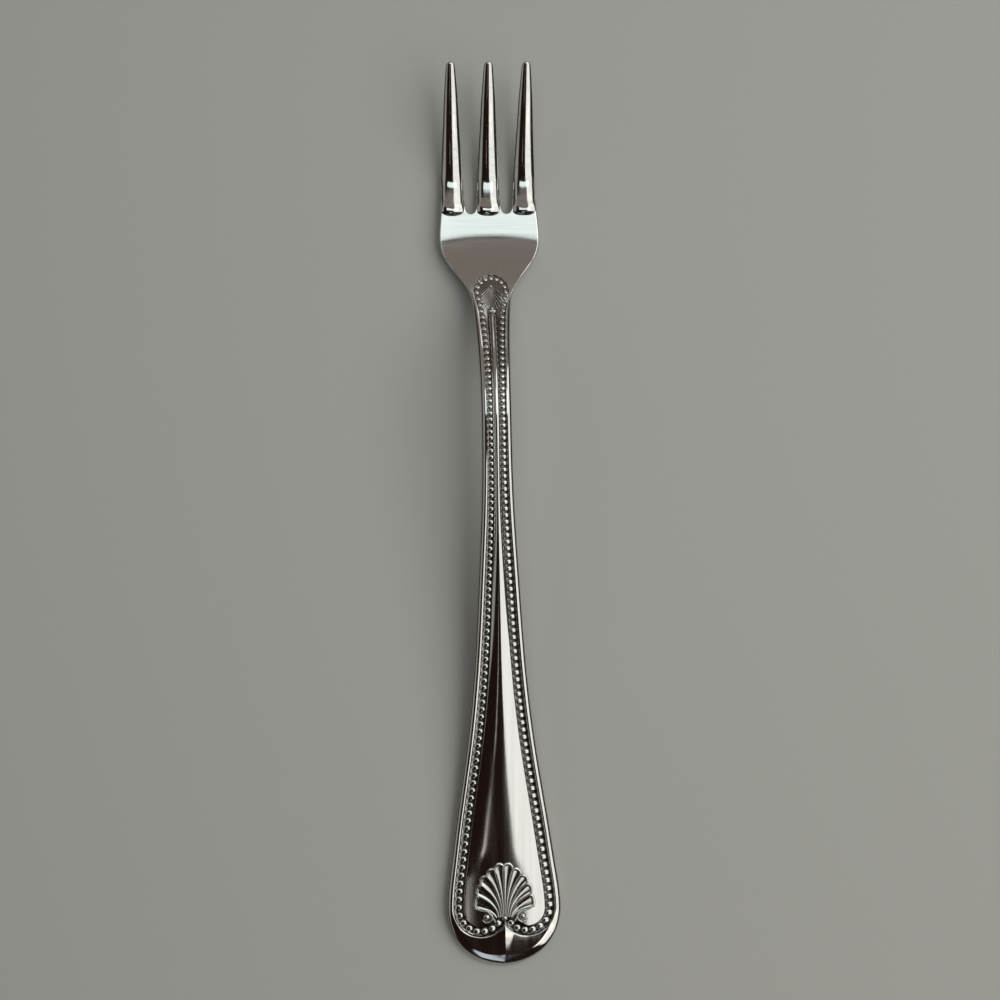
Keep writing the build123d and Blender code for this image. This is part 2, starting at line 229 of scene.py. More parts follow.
def makePiece(name, sheet, material, nodes, mirrored=False):
    points = np.concatenate(sheet["points"])
    faces = np.concatenate(sheet["faces"])
    hollow = np.concatenate(sheet["hollow"])
    if mirrored:
        faces = np.concatenate([faces, faces[:, ::-1] + len(points)])
        points = np.concatenate([points, points * [-1, 1, 1]])
        hollow = np.concatenate([hollow, hollow])
    mesh = bpy.data.meshes.new(name)
    mesh.from_pydata((points * mm).tolist(), [], faces.tolist())
    shade = mesh.attributes.new("hollow", "FLOAT", "POINT")
    shade.data.foreach_set("value", hollow.astype(np.float32))
    work = bmesh.new()
    work.from_mesh(mesh)
    bmesh.ops.remove_doubles(work, verts=work.verts, dist=weld["reach"])
    bmesh.ops.dissolve_degenerate(work, edges=work.edges, dist=weld["sliver"])
    bmesh.ops.recalc_face_normals(work, faces=work.faces)
    openEdges = sum(1 for edge in work.edges if not edge.is_manifold)
    work.to_mesh(mesh)
    work.free()
    mesh.shade_smooth()
    mesh.set_sharp_from_angle(angle=math.radians(weld["sharpAngle"]))
    mesh.materials.append(material)
    piece = bpy.data.objects.new(name, mesh)
    bpy.context.scene.collection.objects.link(piece)
    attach(piece, "root")
    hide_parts(*nodes)
    print(name, "made:", len(mesh.vertices), "points,", openEdges, "open edges")


# steel finishes; depths and places are in metres, texture scales are per metre
polish = {
    # the second, darker colour is laid on recesses, feet and undersides: partly patina, partly painted shade
    "color": (0.62, 0.605, 0.585, 1), "tarnishAndShade": (0.07, 0.06, 0.052, 1), "tarnishAndShadeShare": 0.85,
    "roughLow": 0.05, "roughHigh": 0.17, "wearLow": 0.3, "wearHigh": 0.75,
    "alongScale": (900.0, 30.0, 300.0), "acrossScale": (40.0, 1100.0, 300.0),
    "streakDetail": 6.0, "streakRough": 0.65, "acrossFrom": 0.0385, "acrossTo": 0.0425,
    "bumpDepth": 0.000012, "bumpStrength": 0.2,
    "stain": 0.12, "stainLow": 0.4, "stainHigh": 0.75,
}
coining = {
    "color": (0.57, 0.555, 0.53, 1), "tarnishAndShade": (0.10, 0.085, 0.075, 1), "tarnishAndShadeShare": 1.0,
    "roughLow": 0.10, "roughHigh": 0.22, "wearLow": 0.3, "wearHigh": 0.7,
    "grainScale": 2200.0, "grainDetail": 5.0, "grainRough": 0.6,
    "bumpDepth": 0.000005, "bumpStrength": 0.06,
}
tarnishAndShadeCloud = {"scale": 600.0, "detail": 3.0, "rough": 0.5, "low": 0.3, "high": 0.7, "least": 0.82}


def addNode(tree, kind, values, sources):
    # a node with its constants and its links, both by the names of its sockets
    node = tree.nodes.new(kind)
    for key, value in values.items():
        node.inputs[key].default_value = value
    for key, source in sources.items():
        tree.links.new(source, node.inputs[key])
    return node


def addNoise(tree, vector, scale, detail, rough):
    values = {"Scale": scale, "Detail": detail, "Roughness": rough}
    return addNode(tree, "ShaderNodeTexNoise", values, {"Vector": vector}).outputs["Fac"]


def remap(tree, source, fromLow, fromHigh, toLow=0.0, toHigh=1.0):
    values = {"From Min": fromLow, "From Max": fromHigh, "To Min": toLow, "To Max": toHigh}
    return addNode(tree, "ShaderNodeMapRange", values, {"Value": source}).outputs["Result"]


def calculate(tree, operation, first, second):
    node = tree.nodes.new("ShaderNodeMath")
    node.operation = operation
    tree.links.new(first, node.inputs[0])
    tree.links.new(second, node.inputs[1])
    return node.outputs["Value"]


def blendColors(tree, share, first, second):
    blend = tree.nodes.new("ShaderNodeMix")
    blend.data_type = "RGBA"
    blend.inputs["A"].default_value = first
    blend.inputs["B"].default_value = second
    tree.links.new(share, blend.inputs["Factor"])
    return blend


def startMetal(name):
    material = bpy.data.materials.new(name)
    material.use_nodes = True
    tree = material.node_tree
    shader = tree.nodes["Principled BSDF"]
    shader.inputs["Metallic"].default_value = 1.0
    place = tree.nodes.new("ShaderNodeTexCoord").outputs["Object"]
    return material, tree, shader, place


def tarnishAndShadeIn(tree, place, finish):
    # recesses, bead feet and the undersides of raised lines are darker than the rest, in uneven patches:
    # partly patina, partly painted shade
    hollow = tree.nodes.new("ShaderNodeAttribute")
    hollow.attribute_name = "hollow"
    cloud = addNoise(tree, place, tarnishAndShadeCloud["scale"], tarnishAndShadeCloud["detail"], tarnishAndShadeCloud["rough"])
    most = finish["tarnishAndShadeShare"]
    patch = remap(tree, cloud, tarnishAndShadeCloud["low"], tarnishAndShadeCloud["high"], tarnishAndShadeCloud["least"] * most, most)
    return calculate(tree, "MULTIPLY", hollow.outputs["Fac"], patch)


def dressMetal(tree, shader, finish, tarnishAndShade, texture):
    # one texture sets the roughness and the fine bumps
    color = blendColors(tree, tarnishAndShade, finish["color"], finish["tarnishAndShade"])
    wear = remap(
        tree, texture, finish["wearLow"], finish["wearHigh"], finish["roughLow"], finish["roughHigh"],
    )
    bumpValues = {"Strength": finish["bumpStrength"], "Distance": finish["bumpDepth"]}
    bump = addNode(tree, "ShaderNodeBump", bumpValues, {"Height": texture})
    tree.links.new(color.outputs["Result"], shader.inputs["Base Color"])
    tree.links.new(wear, shader.inputs["Roughness"])
    tree.links.new(bump.outputs["Normal"], shader.inputs["Normal"])


def brushStreaks(tree, place, scale):
    mapping = addNode(tree, "ShaderNodeMapping", {"Scale": scale}, {"Vector": place})
    return addNoise(tree, mapping.outputs["Vector"], 1.0, polish["streakDetail"], polish["streakRough"])


def polishedSteel():
    # brushed along the handle and across the palm, with faint stains
    material, tree, shader, place = startMetal("polishedSteel")
    lengthways = brushStreaks(tree, place, polish["alongScale"])
    crossways = brushStreaks(tree, place, polish["acrossScale"])
    split = addNode(tree, "ShaderNodeSeparateXYZ", {}, {"Vector": place})
    turn = remap(tree, split.outputs["Y"], polish["acrossFrom"], polish["acrossTo"])
    brush = addNode(tree, "ShaderNodeMix", {}, {"Factor": turn, "A": lengthways, "B": crossways})
    texture = brush.outputs["Result"]
    stain = remap(tree, texture, polish["stainLow"], polish["stainHigh"], toHigh=polish["stain"])
    tarnishAndShade = calculate(tree, "ADD", tarnishAndShadeIn(tree, place, polish), stain)
    dressMetal(tree, shader, polish, tarnishAndShade, texture)
    return material


def coinedSteel():
    material, tree, shader, place = startMetal("coinedSteel")
    grain = addNoise(tree, place, coining["grainScale"], coining["grainDetail"], coining["grainRough"])
    dressMetal(tree, shader, coining, tarnishAndShadeIn(tree, place, coining), grain)
    return material


steelPolished = polishedSteel()
steelCoined = coinedSteel()
print("finishes made")

# the body of the fork: rim, sunk border, crowned panel, keeled tip, palm and tines in one skin
border = {
    "depth": 0.45, "wallRun": 0.16, "stepRun": 0.14, "floorDip": 0.05,  # sunk channel
    "archY": 36.45, "archRadius": 2.85, "archFront": 55.0,  # arch at the neck, its front in degrees
    "lobeOffset": 3.75, "lobeRadius": 4.5, "panelLobe": 2.8,  # two lobes at the end
    "hingeY": -64.4, "spineReach": 2.7,
    "facetSlope": 0.36, "facetShare": 0.78, "facetTip": 1.3, "facetRun": 3.0,  # outer facet of the rim
    "facetMost": 0.85, "facetPalm": 0.15, "edgeRound": 0.5, "edgeDrop": 0.18,
    "innerRun": 0.45, "innerDrop": 0.16, "innerTip": 0.2,  # roll on the rim's inner side
    "innerFromY": -50.0, "innerLength": 12.0, "innerFade": 4.0,
    "wallShade": 0.5, "archShade": 0.7, "floorShade": 1.0,  # patina and painted shade in the channel
}
panel = {
    "edge": 0.2, "crownEnd": 0.55, "crownStem": 0.36,
    "flatShare": 0.64, "flatFromY": -52.8, "flatRun": 5.6,  # flatter beside the shell
}
tip = {
    "bowFromY": -69.2, "bow": 0.075,
    "keelHeight": 0.14, "keelWide": 1.8, "keelNarrow": 0.5, "keelEndY": -71.2, "keelPower": 1.2,
    "roofRise": 0.34, "roofHalf": 7.0, "roofEndY": -70.0, "roofRun": 3.4,
}
palm = {
    "startY": 42.0, "fromY": 33.0, "toY": 38.0,
    "facetSlope": 0.2, "facetWidth": 0.1, "edgeDrop": 0.3, "edgeRound": 0.18,
    "dish": 0.26, "dishFromY": 37.0, "dishLength": 12.0, "dishFade": 8.0,
    "looseTo": 0.76, "denseFrom": 0.78,
}
tine = {
    "stations": ((55.6, 1.7), (59.4, 1.5), (63.2, 1.29), (67.0, 1.1), (70.8, 0.8)),  # half widths
    "tipHalf": 0.56, "rootLean": -0.04, "tipLean": -0.25, "spread": 0.25, "edgeFade": 2.0,
    "noseHeight": 0.56, "noseFall": 0.23, "noseFromY": 50.0, "fallReach": 0.8,  # nose and fall behind it
    "noseToY": 54.4, "dipReach": 0.9, "climb": 0.029, "climbToY": 66.0, "climbReach": 3.0,
    "noseShare": 0.95, "noseLength": 0.85, "noseBack": 0.3, "widenLength": 3.0,  # round nose on the palm
    "flatness": 2.3, "bow": 1.0, "domeShare": 0.41, "sinkAhead": 0.5, "sinkLength": 2.2,  # rounded back
    "tipRound": 0.5, "tipTurn": 80.0, "crowding": 1.25, "underRound": 0.2, "underPower": 6,
}
underEdge = {"lift": 0.3, "run": 0.5}  # rounded edge of the underside
# shares across the strips of the border, and how the height follows them
profile = {
    "facet": (0, 0.06, 0.14, 0.25, 0.4, 0.6, 0.8, 1.0), "rimSteps": 16,
    "wall": (0, 0.2, 0.5, 0.8, 1.0), "wallFall": (0, 0.1, 0.5, 0.9, 1.0), "floorPoints": 8,
    "step": (0, 0.25, 0.6, 0.85, 1.0), "stepRise": (0, 0.12, 0.62, 0.93, 1.0),
    "panel": (0, 0.03, 0.07, 0.13, 0.2, 0.29, 0.4, 0.52, 0.64, 0.76, 0.88, 1.0),
    "underEdge": (0, 0.015, 0.035, 0.06, 0.09), "underFrom": 0.14, "underPoints": 8,
}
# how finely the skin is divided, by columns and rows
colCount = {"middle": 14, "slot": 10, "outer": 28, "wall": 4}
rowCount = {
    "cheek": 20, "neck": 12, "handle": 330, "lobe": 90,
    "headLoose": 14, "headDense": 28, "tine": 90, "tip": 8,
}
slotOffset = tineSpacing / 2
slotRadius = slotOffset - rootHalf


def facetWidth(y):
    share = softStep((endCenterY - y) / border["facetRun"])
    return mix(border["facetShare"] * rimWidth(y), border["facetTip"], share)


def bevel(x, y):
    distance = edgeDistance(x, y)
    onPalm = softStep((y - palm["fromY"]) / (palm["toY"] - palm["fromY"]))
    width = mix(facetWidth(y), palm["facetWidth"], onPalm)
    fromCenter = np.maximum(np.hypot(x, y - endCenterY), tiny)
    sideways = np.where(y < endCenterY, np.abs(x) / fromCenter, 1.0)
    slope = mix(border["facetSlope"] * sideways, palm["facetSlope"], onPalm)
    drop = mix(border["edgeDrop"], palm["edgeDrop"], onPalm)
    edge = mix(border["edgeRound"], palm["edgeRound"], onPalm)
    facet = slope * np.maximum(width - distance, 0.0)
    return -facet - drop * np.maximum(1 - distance / edge, 0.0) ** 2


def tipForm(x, y):
    # the plain end: a keel that fades out from the cusp, a low roof beside it, and a bow down at the edge
    below = np.maximum(tip["bowFromY"] - y, 0.0)
    cuspY = endCenterY - math.sqrt(border["lobeRadius"] ** 2 - border["lobeOffset"] ** 2)
    fade = np.clip((y - tip["keelEndY"]) / (cuspY - tip["keelEndY"]), 0.0, 1.0)
    fade = np.where(y < endCenterY, fade, 0.0)
    reach = mix(tip["keelNarrow"], tip["keelWide"], fade)
    keel = tip["keelHeight"] * fade * np.maximum(1 - np.abs(x) / reach, 0.0) ** tip["keelPower"]
    roof = tip["roofRise"] * (1 + np.cos(np.pi * np.minimum(np.abs(x) / tip["roofHalf"], 1.0))) / 2
    roof = np.where(y < endCenterY, roof * softStep((y - tip["roofEndY"]) / tip["roofRun"]), 0.0)
    return keel + roof - tip["bow"] * below**2


def dishOf(x, y):
    rise = softStep((y - palm["dishFromY"]) / palm["dishLength"])
    return palm["dish"] * (x / rootEdge) ** 2 * rise * (1 - softStep((y - rootY) / palm["dishFade"]))


def rimTop(x, y):
    return topside(y) + bevel(x, y) + tipForm(x, y) + dishOf(x, y)


def floorTop(y):
    return topside(y) - border["depth"]


def panelTop(x, y):
    crown = mix(panel["crownEnd"], panel["crownStem"], shareUp(y))
    past = np.maximum(y - outline["neckY"], 0.0)
    flat = mix(1.0, panel["flatShare"], softStep((panel["flatFromY"] - y) / panel["flatRun"]))
    share = flat * (x**2 + past**2) / panelHalf(y) ** 2
    return floorTop(y) + panel["edge"] + crown * np.maximum(1 - share, 0.0)


def bottomOf(x, y):
    lift = underEdge["lift"] * np.maximum(1 - edgeDistance(x, y) / underEdge["run"], 0.0) ** 2
    return underside(y) + lift


# columns over the head at the tine roots: half the middle tine, a slot, an outer tine
middleCols = rootHalf * np.sin(np.pi / 2 * np.arange(colCount["middle"] + 1) / colCount["middle"])
slotTurn = np.pi * np.arange(1, colCount["slot"] + 1) / colCount["slot"]
slotCols = slotOffset - slotRadius * np.cos(slotTurn)
outerTurn = np.pi / 2 * (2 * np.arange(1, colCount["outer"] + 1) / colCount["outer"] - 1)
outerCols = tineSpacing + rootHalf * np.sin(outerTurn)
headCols = np.concatenate([middleCols, slotCols, outerCols])
headShare = headCols / rootEdge
slotDip = np.zeros(len(headCols))
slotDip[len(middleCols):len(middleCols) + colCount["slot"]] = slotRadius * np.sin(slotTurn)


def borderRows():
    # one row per place on the border line, from the top of the neck arch to the cusp at the end
    startY, archY, neckY = palm["startY"], border["archY"], outline["neckY"]
    archRadius, lobeOffset, lobeRadius = border["archRadius"], border["lobeOffset"], border["lobeRadius"]
    quarter = math.pi / 2
    cheek = np.linspace(startY, archY, rowCount["cheek"] + 1)[1:]
    neck = np.linspace(archY, neckY, rowCount["neck"] + 1)[1:]
    handle = np.linspace(neckY, endCenterY, rowCount["handle"] + 1)[1:]
    lobeEnd = math.pi - math.acos(lobeOffset / lobeRadius)
    lobe = np.linspace(0, lobeEnd, rowCount["lobe"] + 1)[1:]
    archFront = math.radians(border["archFront"])
    cheekTurn = np.linspace(archFront, quarter, rowCount["cheek"] + 1)[1:]
    archTurn = np.concatenate([archFront * headShare, cheekTurn])
    headCount = len(archTurn) + len(neck)

    # edge of the fork
    capTurn = lobe / lobeEnd * quarter
    outer = [
        stacked(headShare * halfWidth(startY), startY),
        stacked(halfWidth(cheek), cheek),
        stacked(halfWidth(neck), neck),
        stacked(halfWidth(handle), handle),
        stacked(endRadius * np.cos(capTurn), endCenterY - endRadius * np.sin(capTurn)),
    ]
    # inner line of the rim
    narrowing = softStep((archY - neck) / (archY - neckY))
    neckBorder = mix(archRadius, halfWidth(neckY) - rimWidth(neckY), narrowing)
    ridge = [
        stacked(archRadius * np.sin(archTurn), archY + archRadius * np.cos(archTurn)),
        stacked(neckBorder, neck),
        stacked(halfWidth(handle) - rimWidth(handle), handle),
        stacked(lobeOffset + lobeRadius * np.cos(lobe), endCenterY - lobeRadius * np.sin(lobe)),
    ]
    # outer line of the panel, which closes round the rib at the neck and runs to the hinge of the shell
    ribTurn = np.linspace(0, quarter, headCount)
    ribHalf = panelHalf(neckY)
    cornerTurn = np.minimum(lobe, quarter)
    cornerX = lobeOffset + border["panelLobe"] * np.cos(cornerTurn)
    cornerY = endCenterY - border["panelLobe"] * np.sin(cornerTurn)
    notch = np.clip((lobe - quarter) / (lobeEnd - quarter), 0.0, 1.0)
    side = [
        stacked(ribHalf * np.sin(ribTurn), neckY + ribHalf * np.cos(ribTurn)),
        stacked(panelHalf(handle), handle),
        stacked(mix(cornerX, 0.0, notch), mix(cornerY, border["hingeY"], notch)),
    ]
    # middle lines of the panel and of the underside
    panelEnd = mix(endCenterY, border["hingeY"], lobe / lobeEnd)
    spineStart = np.linspace(startY, archY, len(archTurn))
    spineEnd = endCenterY - border["spineReach"] * lobe / lobeEnd
    return {
        "outer": np.concatenate(outer), "ridge": np.concatenate(ridge), "side": np.concatenate(side),
        "middle": stacked(0.0, np.concatenate([np.full(headCount, neckY), handle, panelEnd])),
        "spine": stacked(0.0, np.concatenate([spineStart, neck, handle, spineEnd])),
        "inArch": np.arange(headCount + len(handle) + len(lobe)) < headCount,
        "edgeStart": len(headShare) - 1,
    }


def addRim(sheet, rows):
    # outer facet, flat top and a roll down to the border; returns the heights where the border starts
    outer, ridge = rows["outer"], rows["ridge"]
    span = np.linalg.norm(ridge - outer, axis=1)
    facet = np.minimum(facetWidth(outer[:, 1]) / span, border["facetMost"])
    facet[:rows["edgeStart"]] = border["facetPalm"]
    facet = facet[:, None]
    beyond = np.sin(np.linspace(0, 1, profile["rimSteps"] + 1)[1:] * np.pi / 2)
    shares = np.concatenate([facet * np.array(profile["facet"]), facet + (1 - facet) * beyond], 1)
    plan = ribbon(outer, ridge, shares)
    narrow = softStep((border["innerFromY"] - ridge[:, 1]) / border["innerLength"])
    run = mix(border["innerRun"], border["innerTip"], narrow)
    drop = border["innerDrop"] * run / border["innerRun"] * (1 - shareUp(outer[:, 1]) ** 2)
    drop = drop * (1 - softStep((outer[:, 1] - palm["fromY"] + border["innerFade"]) / border["innerFade"]))
    fromRidge = (1 - shares) * span[:, None]
    roll = drop[:, None] * np.maximum(1 - fromRidge / run[:, None], 0.0) ** 2
    height = rimTop(plan[..., 0], plan[..., 1]) - roll
    addGrid(sheet, raised(plan, height))
    return height[:, -1]


def addBorder(sheet, rows, ridgeHeight):
    # wall down from the rim, dipped floor, and step up to the panel
    ridge, side = rows["ridge"], rows["side"]
    inward = side - ridge
    inward = inward / np.linalg.norm(inward, axis=1)[:, None]
    foot = ridge + inward * border["wallRun"]
    step = side - inward * border["stepRun"]
    footHeight = floorTop(foot[:, 1])[:, None]
    stepHeight = floorTop(step[:, 1])[:, None]
    sideHeight = panelTop(side[:, 0], side[:, 1])[:, None]

    # the wall darkens towards its foot, the floor is darkest and the step darkens towards the floor: patina
    # with painted shade
    wallFall = np.array(profile["wallFall"])
    plan = ribbon(ridge, foot, profile["wall"])
    height = mix(ridgeHeight[:, None], footHeight, wallFall)
    addGrid(sheet, raised(plan, height), hollow=border["wallShade"] * wallFall)

    floorShare = np.linspace(0, 1, profile["floorPoints"])
    plan = ribbon(foot, step, floorShare)
    dip = border["floorDip"] * 4 * floorShare * (1 - floorShare)
    inside = (floorShare > 0) & (floorShare < 1)
    height = np.where(inside, floorTop(plan[..., 1]) - dip, mix(footHeight, stepHeight, floorShare))
    shade = np.where(rows["inArch"], border["archShade"], border["floorShade"])
    addGrid(sheet, raised(plan, height), hollow=shade[:, None])

    stepRise = np.array(profile["stepRise"])
    plan = ribbon(step, side, profile["step"])
    height = mix(stepHeight, sideHeight, stepRise)
    addGrid(sheet, raised(plan, height), hollow=1 - stepRise)


def addUnderside(sheet, rows):
    inner = np.linspace(profile["underFrom"], 1, profile["underPoints"])
    shares = np.concatenate([profile["underEdge"], inner])
    addGrid(sheet, laidOn(bottomOf, ribbon(rows["outer"], rows["spine"], shares)))


def addWall(sheet, top, bottom):
    addGrid(sheet, ribbon(top, bottom, np.linspace(0, 1, colCount["wall"] + 1)))


tineStations = ((rootY, rootHalf), *tine["stations"], (tipY, tine["tipHalf"]))
tineHalf = splineThrough(tineStations, tine["rootLean"], tine["tipLean"])


def tineCenter(side, y):
    return side * (tineSpacing + tine["spread"] * np.clip((y - rootY) / (tipY - rootY), 0, 1))


def tineCrown(y):
    # the back of a tine over the strip's own top: a raised nose that falls to a dip, then climbs back
    fall = tine["noseFall"] * softCorner(y - tine["noseFromY"], tine["fallReach"])
    climb = (tine["noseFall"] + tine["climb"]) * softCorner(y - tine["noseToY"], tine["dipReach"])
    level = tine["climb"] * softCorner(y - tine["climbToY"], tine["climbReach"])
    return tine["noseHeight"] - fall + climb - level


def tineSink(y):
    # how far the shoulders lie under the strip's own top
    deep = np.maximum(tine["domeShare"] * tineHalf(y) - tineCrown(y), 0.0)
    return deep * softStep((y - rootY + tine["sinkAhead"]) / tine["sinkLength"])


def tineRise(x, y, side):
    # height that the rounded back of a tine adds over its shoulders, with a round nose on the palm
    ahead = np.clip((y - rootY) / tine["widenLength"], 0.0, 1.0)
    reach = tineHalf(y) * mix(tine["noseShare"], 1.0, softStep(ahead))
    offset = ((x - tineCenter(side, y)) / reach) ** 2
    nose = np.maximum(rootY - tine["noseBack"] - y, 0.0) / tine["noseLength"]
    dome = np.maximum(1 - (offset + nose**2) ** (tine["flatness"] / 2), 0.0)
    return (tineCrown(y - tine["bow"] * np.minimum(offset, 1.0)) + tineSink(y)) * dome


def headTop(x, y):
    rise = np.maximum(tineRise(x, y, 0), tineRise(x, y, 1))
    edge = bevel(x, np.minimum(y, rootY)) * (1 - softStep((y - rootY) / tine["edgeFade"]))
    return topside(y) + dishOf(x, y) + edge - tineSink(y) + rise


def headBottom(x, y, share):
    onPalm = np.minimum(y, rootY)
    fade = softStep((y - rootY) / tine["edgeFade"])
    edge = bottomOf(x, onPalm) - underside(onPalm)
    rolled = tine["underRound"] * thickness(y) * np.abs(share) ** tine["underPower"] * fade
    return mix(edge, 0.0, fade) + underside(y) + rolled


def addHead(sheet):
    # rows stand closer together where the noses of the tines begin
    loose = np.linspace(0, palm["looseTo"], rowCount["headLoose"])
    dense = np.linspace(palm["denseFrom"], 1, rowCount["headDense"])
    rowShare = np.concatenate([loose, dense])[:, None]
    y = mix(palm["startY"], rootY - slotDip[None, :], rowShare)
    x = headShare[None, :] * halfWidth(mix(palm["startY"], rootY, rowShare))
    top = stacked(x, y, headTop(x, y))
    bottom = stacked(x, y, headBottom(x, y, 0.0))
    addGrid(sheet, top)
    addGrid(sheet, bottom)
    addWall(sheet, top[:, -1], bottom[:, -1])
    first = len(middleCols) - 1
    last = first + colCount["slot"] + 1
    addWall(sheet, top[-1, first:last], bottom[-1, first:last])


def addTine(sheet, side, share):
    # share runs across the tine from -1 to 1, or from 0 for the right half of the middle one
    begin = np.linspace(0, 1, rowCount["tine"] + 1)
    straight = mix(rootY, tipY - tine["tipRound"], begin ** tine["crowding"])
    turn = np.linspace(0, 1, rowCount["tip"] + 1)[1:] * math.radians(tine["tipTurn"])
    y = np.concatenate([straight, tipY - tine["tipRound"] * (1 - np.sin(turn))])
    shrink = np.concatenate([np.ones(len(straight)), np.cos(turn)])[:, None]
    half = tineHalf(y)[:, None]
    y = np.repeat(y[:, None], len(share), 1)
    center = tineCenter(side, y)
    x = center + share[None, :] * half
    heart = underside(y) + thickness(y) / 2
    top = stacked(mix(center, x, shrink), y, mix(heart, headTop(x, y), shrink))
    bottom = stacked(mix(center, x, shrink), y, mix(heart, headBottom(x, y, share[None, :]), shrink))
    addGrid(sheet, top)
    addGrid(sheet, bottom)
    addWall(sheet, top[:, -1], bottom[:, -1])
    if side:
        addWall(sheet, top[:, 0], bottom[:, 0])
    addWall(sheet, top[-1], bottom[-1])


def makeBody():
    # the right half, which makePiece mirrors
    sheet = newSheet()
    rows = borderRows()
    ridgeHeight = addRim(sheet, rows)
    addBorder(sheet, rows, ridgeHeight)
    addGrid(sheet, laidOn(panelTop, ribbon(rows["side"], rows["middle"], profile["panel"])))
    addUnderside(sheet, rows)
    edge = rows["outer"][rows["edgeStart"]:]
    addWall(sheet, laidOn(rimTop, edge), laidOn(bottomOf, edge))
    addHead(sheet)
    addTine(sheet, 0, middleCols / rootHalf)
    addTine(sheet, 1, np.concatenate([[-1.0], (outerCols - tineSpacing) / rootHalf]))
    nodes = ("handle", "palm", "tine_left", "tine_middle", "tine_right")
    makePiece("forkBody", sheet, steelPolished, nodes, mirrored=True)


makeBody()

# coined beads in the border: diameters by place, and the rings of a dome from its sunk foot up, with shades
# that darken the foot as painted shade and patina
bead = {
    "end": 1.25, "stem": 0.94, "arch": 0.87, "spacing": 1.055, "height": 0.3, "shoulder": 2.6,
    "tilt": 0.13, "seat": 0.03, "sunk": 0.12, "sides": 20, "gap": 0.035, "archInset": 0.5, "neckSteps": 4,
    "rings": (1.04, 1.04, 1.0, 0.985, 0.94, 0.86, 0.75, 0.6, 0.42, 0.22, 0.03),
    "shades": (1.0, 1.0, 1.0, 0.8, 0.5, 0.2, 0.0, 0.0, 0.0, 0.0, 0.0),
}


def addBead(sheet, x, y, diameter, tilt=0.0):
    # a low dome with a flat top and round shoulders, seated in the channel's floor
    turn = 2 * np.pi * np.arange(bead["sides"]) / bead["sides"]
    ring = np.array(bead["rings"])
    level = bead["height"] * np.sqrt(np.maximum(1 - ring ** bead["shoulder"], 0.0)) * diameter
    level[0] = -bead["sunk"]
    px = x + (ring * diameter / 2)[:, None] * np.cos(turn)[None, :]
    py = y + (ring * diameter / 2)[:, None] * np.sin(turn)[None, :]
    base = floorTop(y) - border["floorDip"] + bead["seat"]
    pz = base + slopeOf(topside, y) * (py - y) - tilt * (px - x) + level[:, None]
    # the foot rings are darkened: painted shade with patina
    addTube(sheet, stacked(px, py, pz), np.array(bead["shades"])[:, None])


def beadLine(y):
    return halfWidth(y) - rimWidth(y) - channelWidth(y) / 2


def makeBeadRow(name, node, side):
    sheet = newSheet()
    y = outline["neckY"]
    while y > endCenterY:  # down the handle
        diameter = mix(bead["end"], bead["stem"], shareUp(y))
        addBead(sheet, side * beadLine(y), y, diameter, side * bead["tilt"])
        y -= bead["spacing"] * diameter / math.sqrt(1 + slopeOf(beadLine, y) ** 2)
    radius = border["lobeRadius"] - outline["channelEnd"] / 2
    last = math.acos((bead["end"] / 2 + bead["gap"] - border["lobeOffset"]) / radius)
    turn = (endCenterY - y) / radius
    while turn < last:  # round the lobe to the middle
        x = border["lobeOffset"] + radius * math.cos(turn)
        tilt = side * bead["tilt"] * math.cos(turn)
        addBead(sheet, side * x, endCenterY - radius * math.sin(turn), bead["end"], tilt)
        turn += bead["spacing"] * bead["end"] / radius
    makePiece(name, sheet, steelCoined, [node])


def makeNeckBeads():
    sheet = newSheet()
    radius = border["archRadius"] - bead["archInset"]
    step = bead["spacing"] * bead["arch"] / radius
    addBead(sheet, 0.0, border["archY"] + radius, bead["arch"])
    turn = step
    places = []
    while turn < math.pi / 2:
        places.append((radius * math.sin(turn), border["archY"] + radius * math.cos(turn)))
        turn += step
    foot = beadLine(outline["neckY"])
    for k in range(bead["neckSteps"]):
        share = k / bead["neckSteps"]
        places.append((mix(radius, foot, share), mix(border["archY"], outline["neckY"], share)))
    for x, y in places:
        addBead(sheet, x, y, bead["arch"])
        addBead(sheet, -x, y, bead["arch"])
    makePiece("neckBeads", sheet, steelCoined, ["neck_beads"])


makeBeadRow("beadRowLeft", "bead_row_left", -1)
makeBeadRow("beadRowRight", "bead_row_right", 1)
makeNeckBeads()

# small lily at the neck: a bud with a collar, ribs that spread from one point and a knob over them
lily = {
    "apexY": 37.35, "footY": 33.3, "points": 26,
    "budTop": 0.16, "budFoot": 0.5, "budSwell": 1.6, "budTall": 1.2,
    "ribEnds": ((0.9, 33.55), (1.28, 33.85), (1.52, 34.4), (1.68, 35.05), (1.76, 35.75)),
    "ribStart": 0.08, "ribApart": 0.035, "bendLow": 2.0, "bendHigh": 1.2,
    "ribThin": 0.06, "ribThick": 0.13, "ribTall": 1.4, "ribLift": 0.12,
    "collarHalf": 0.66, "collarBelow": 0.2, "collarPoints": 15,
    "collarThick": 0.28, "collarTall": 1.2, "collarLift": 0.3, "collarSquare": 0.5,
    "knob": 0.6, "knobAhead": 0.1,
}
cord = {"sides": 20, "endPoints": 3.0, "endLeast": 0.02, "shadeTop": 0.35}


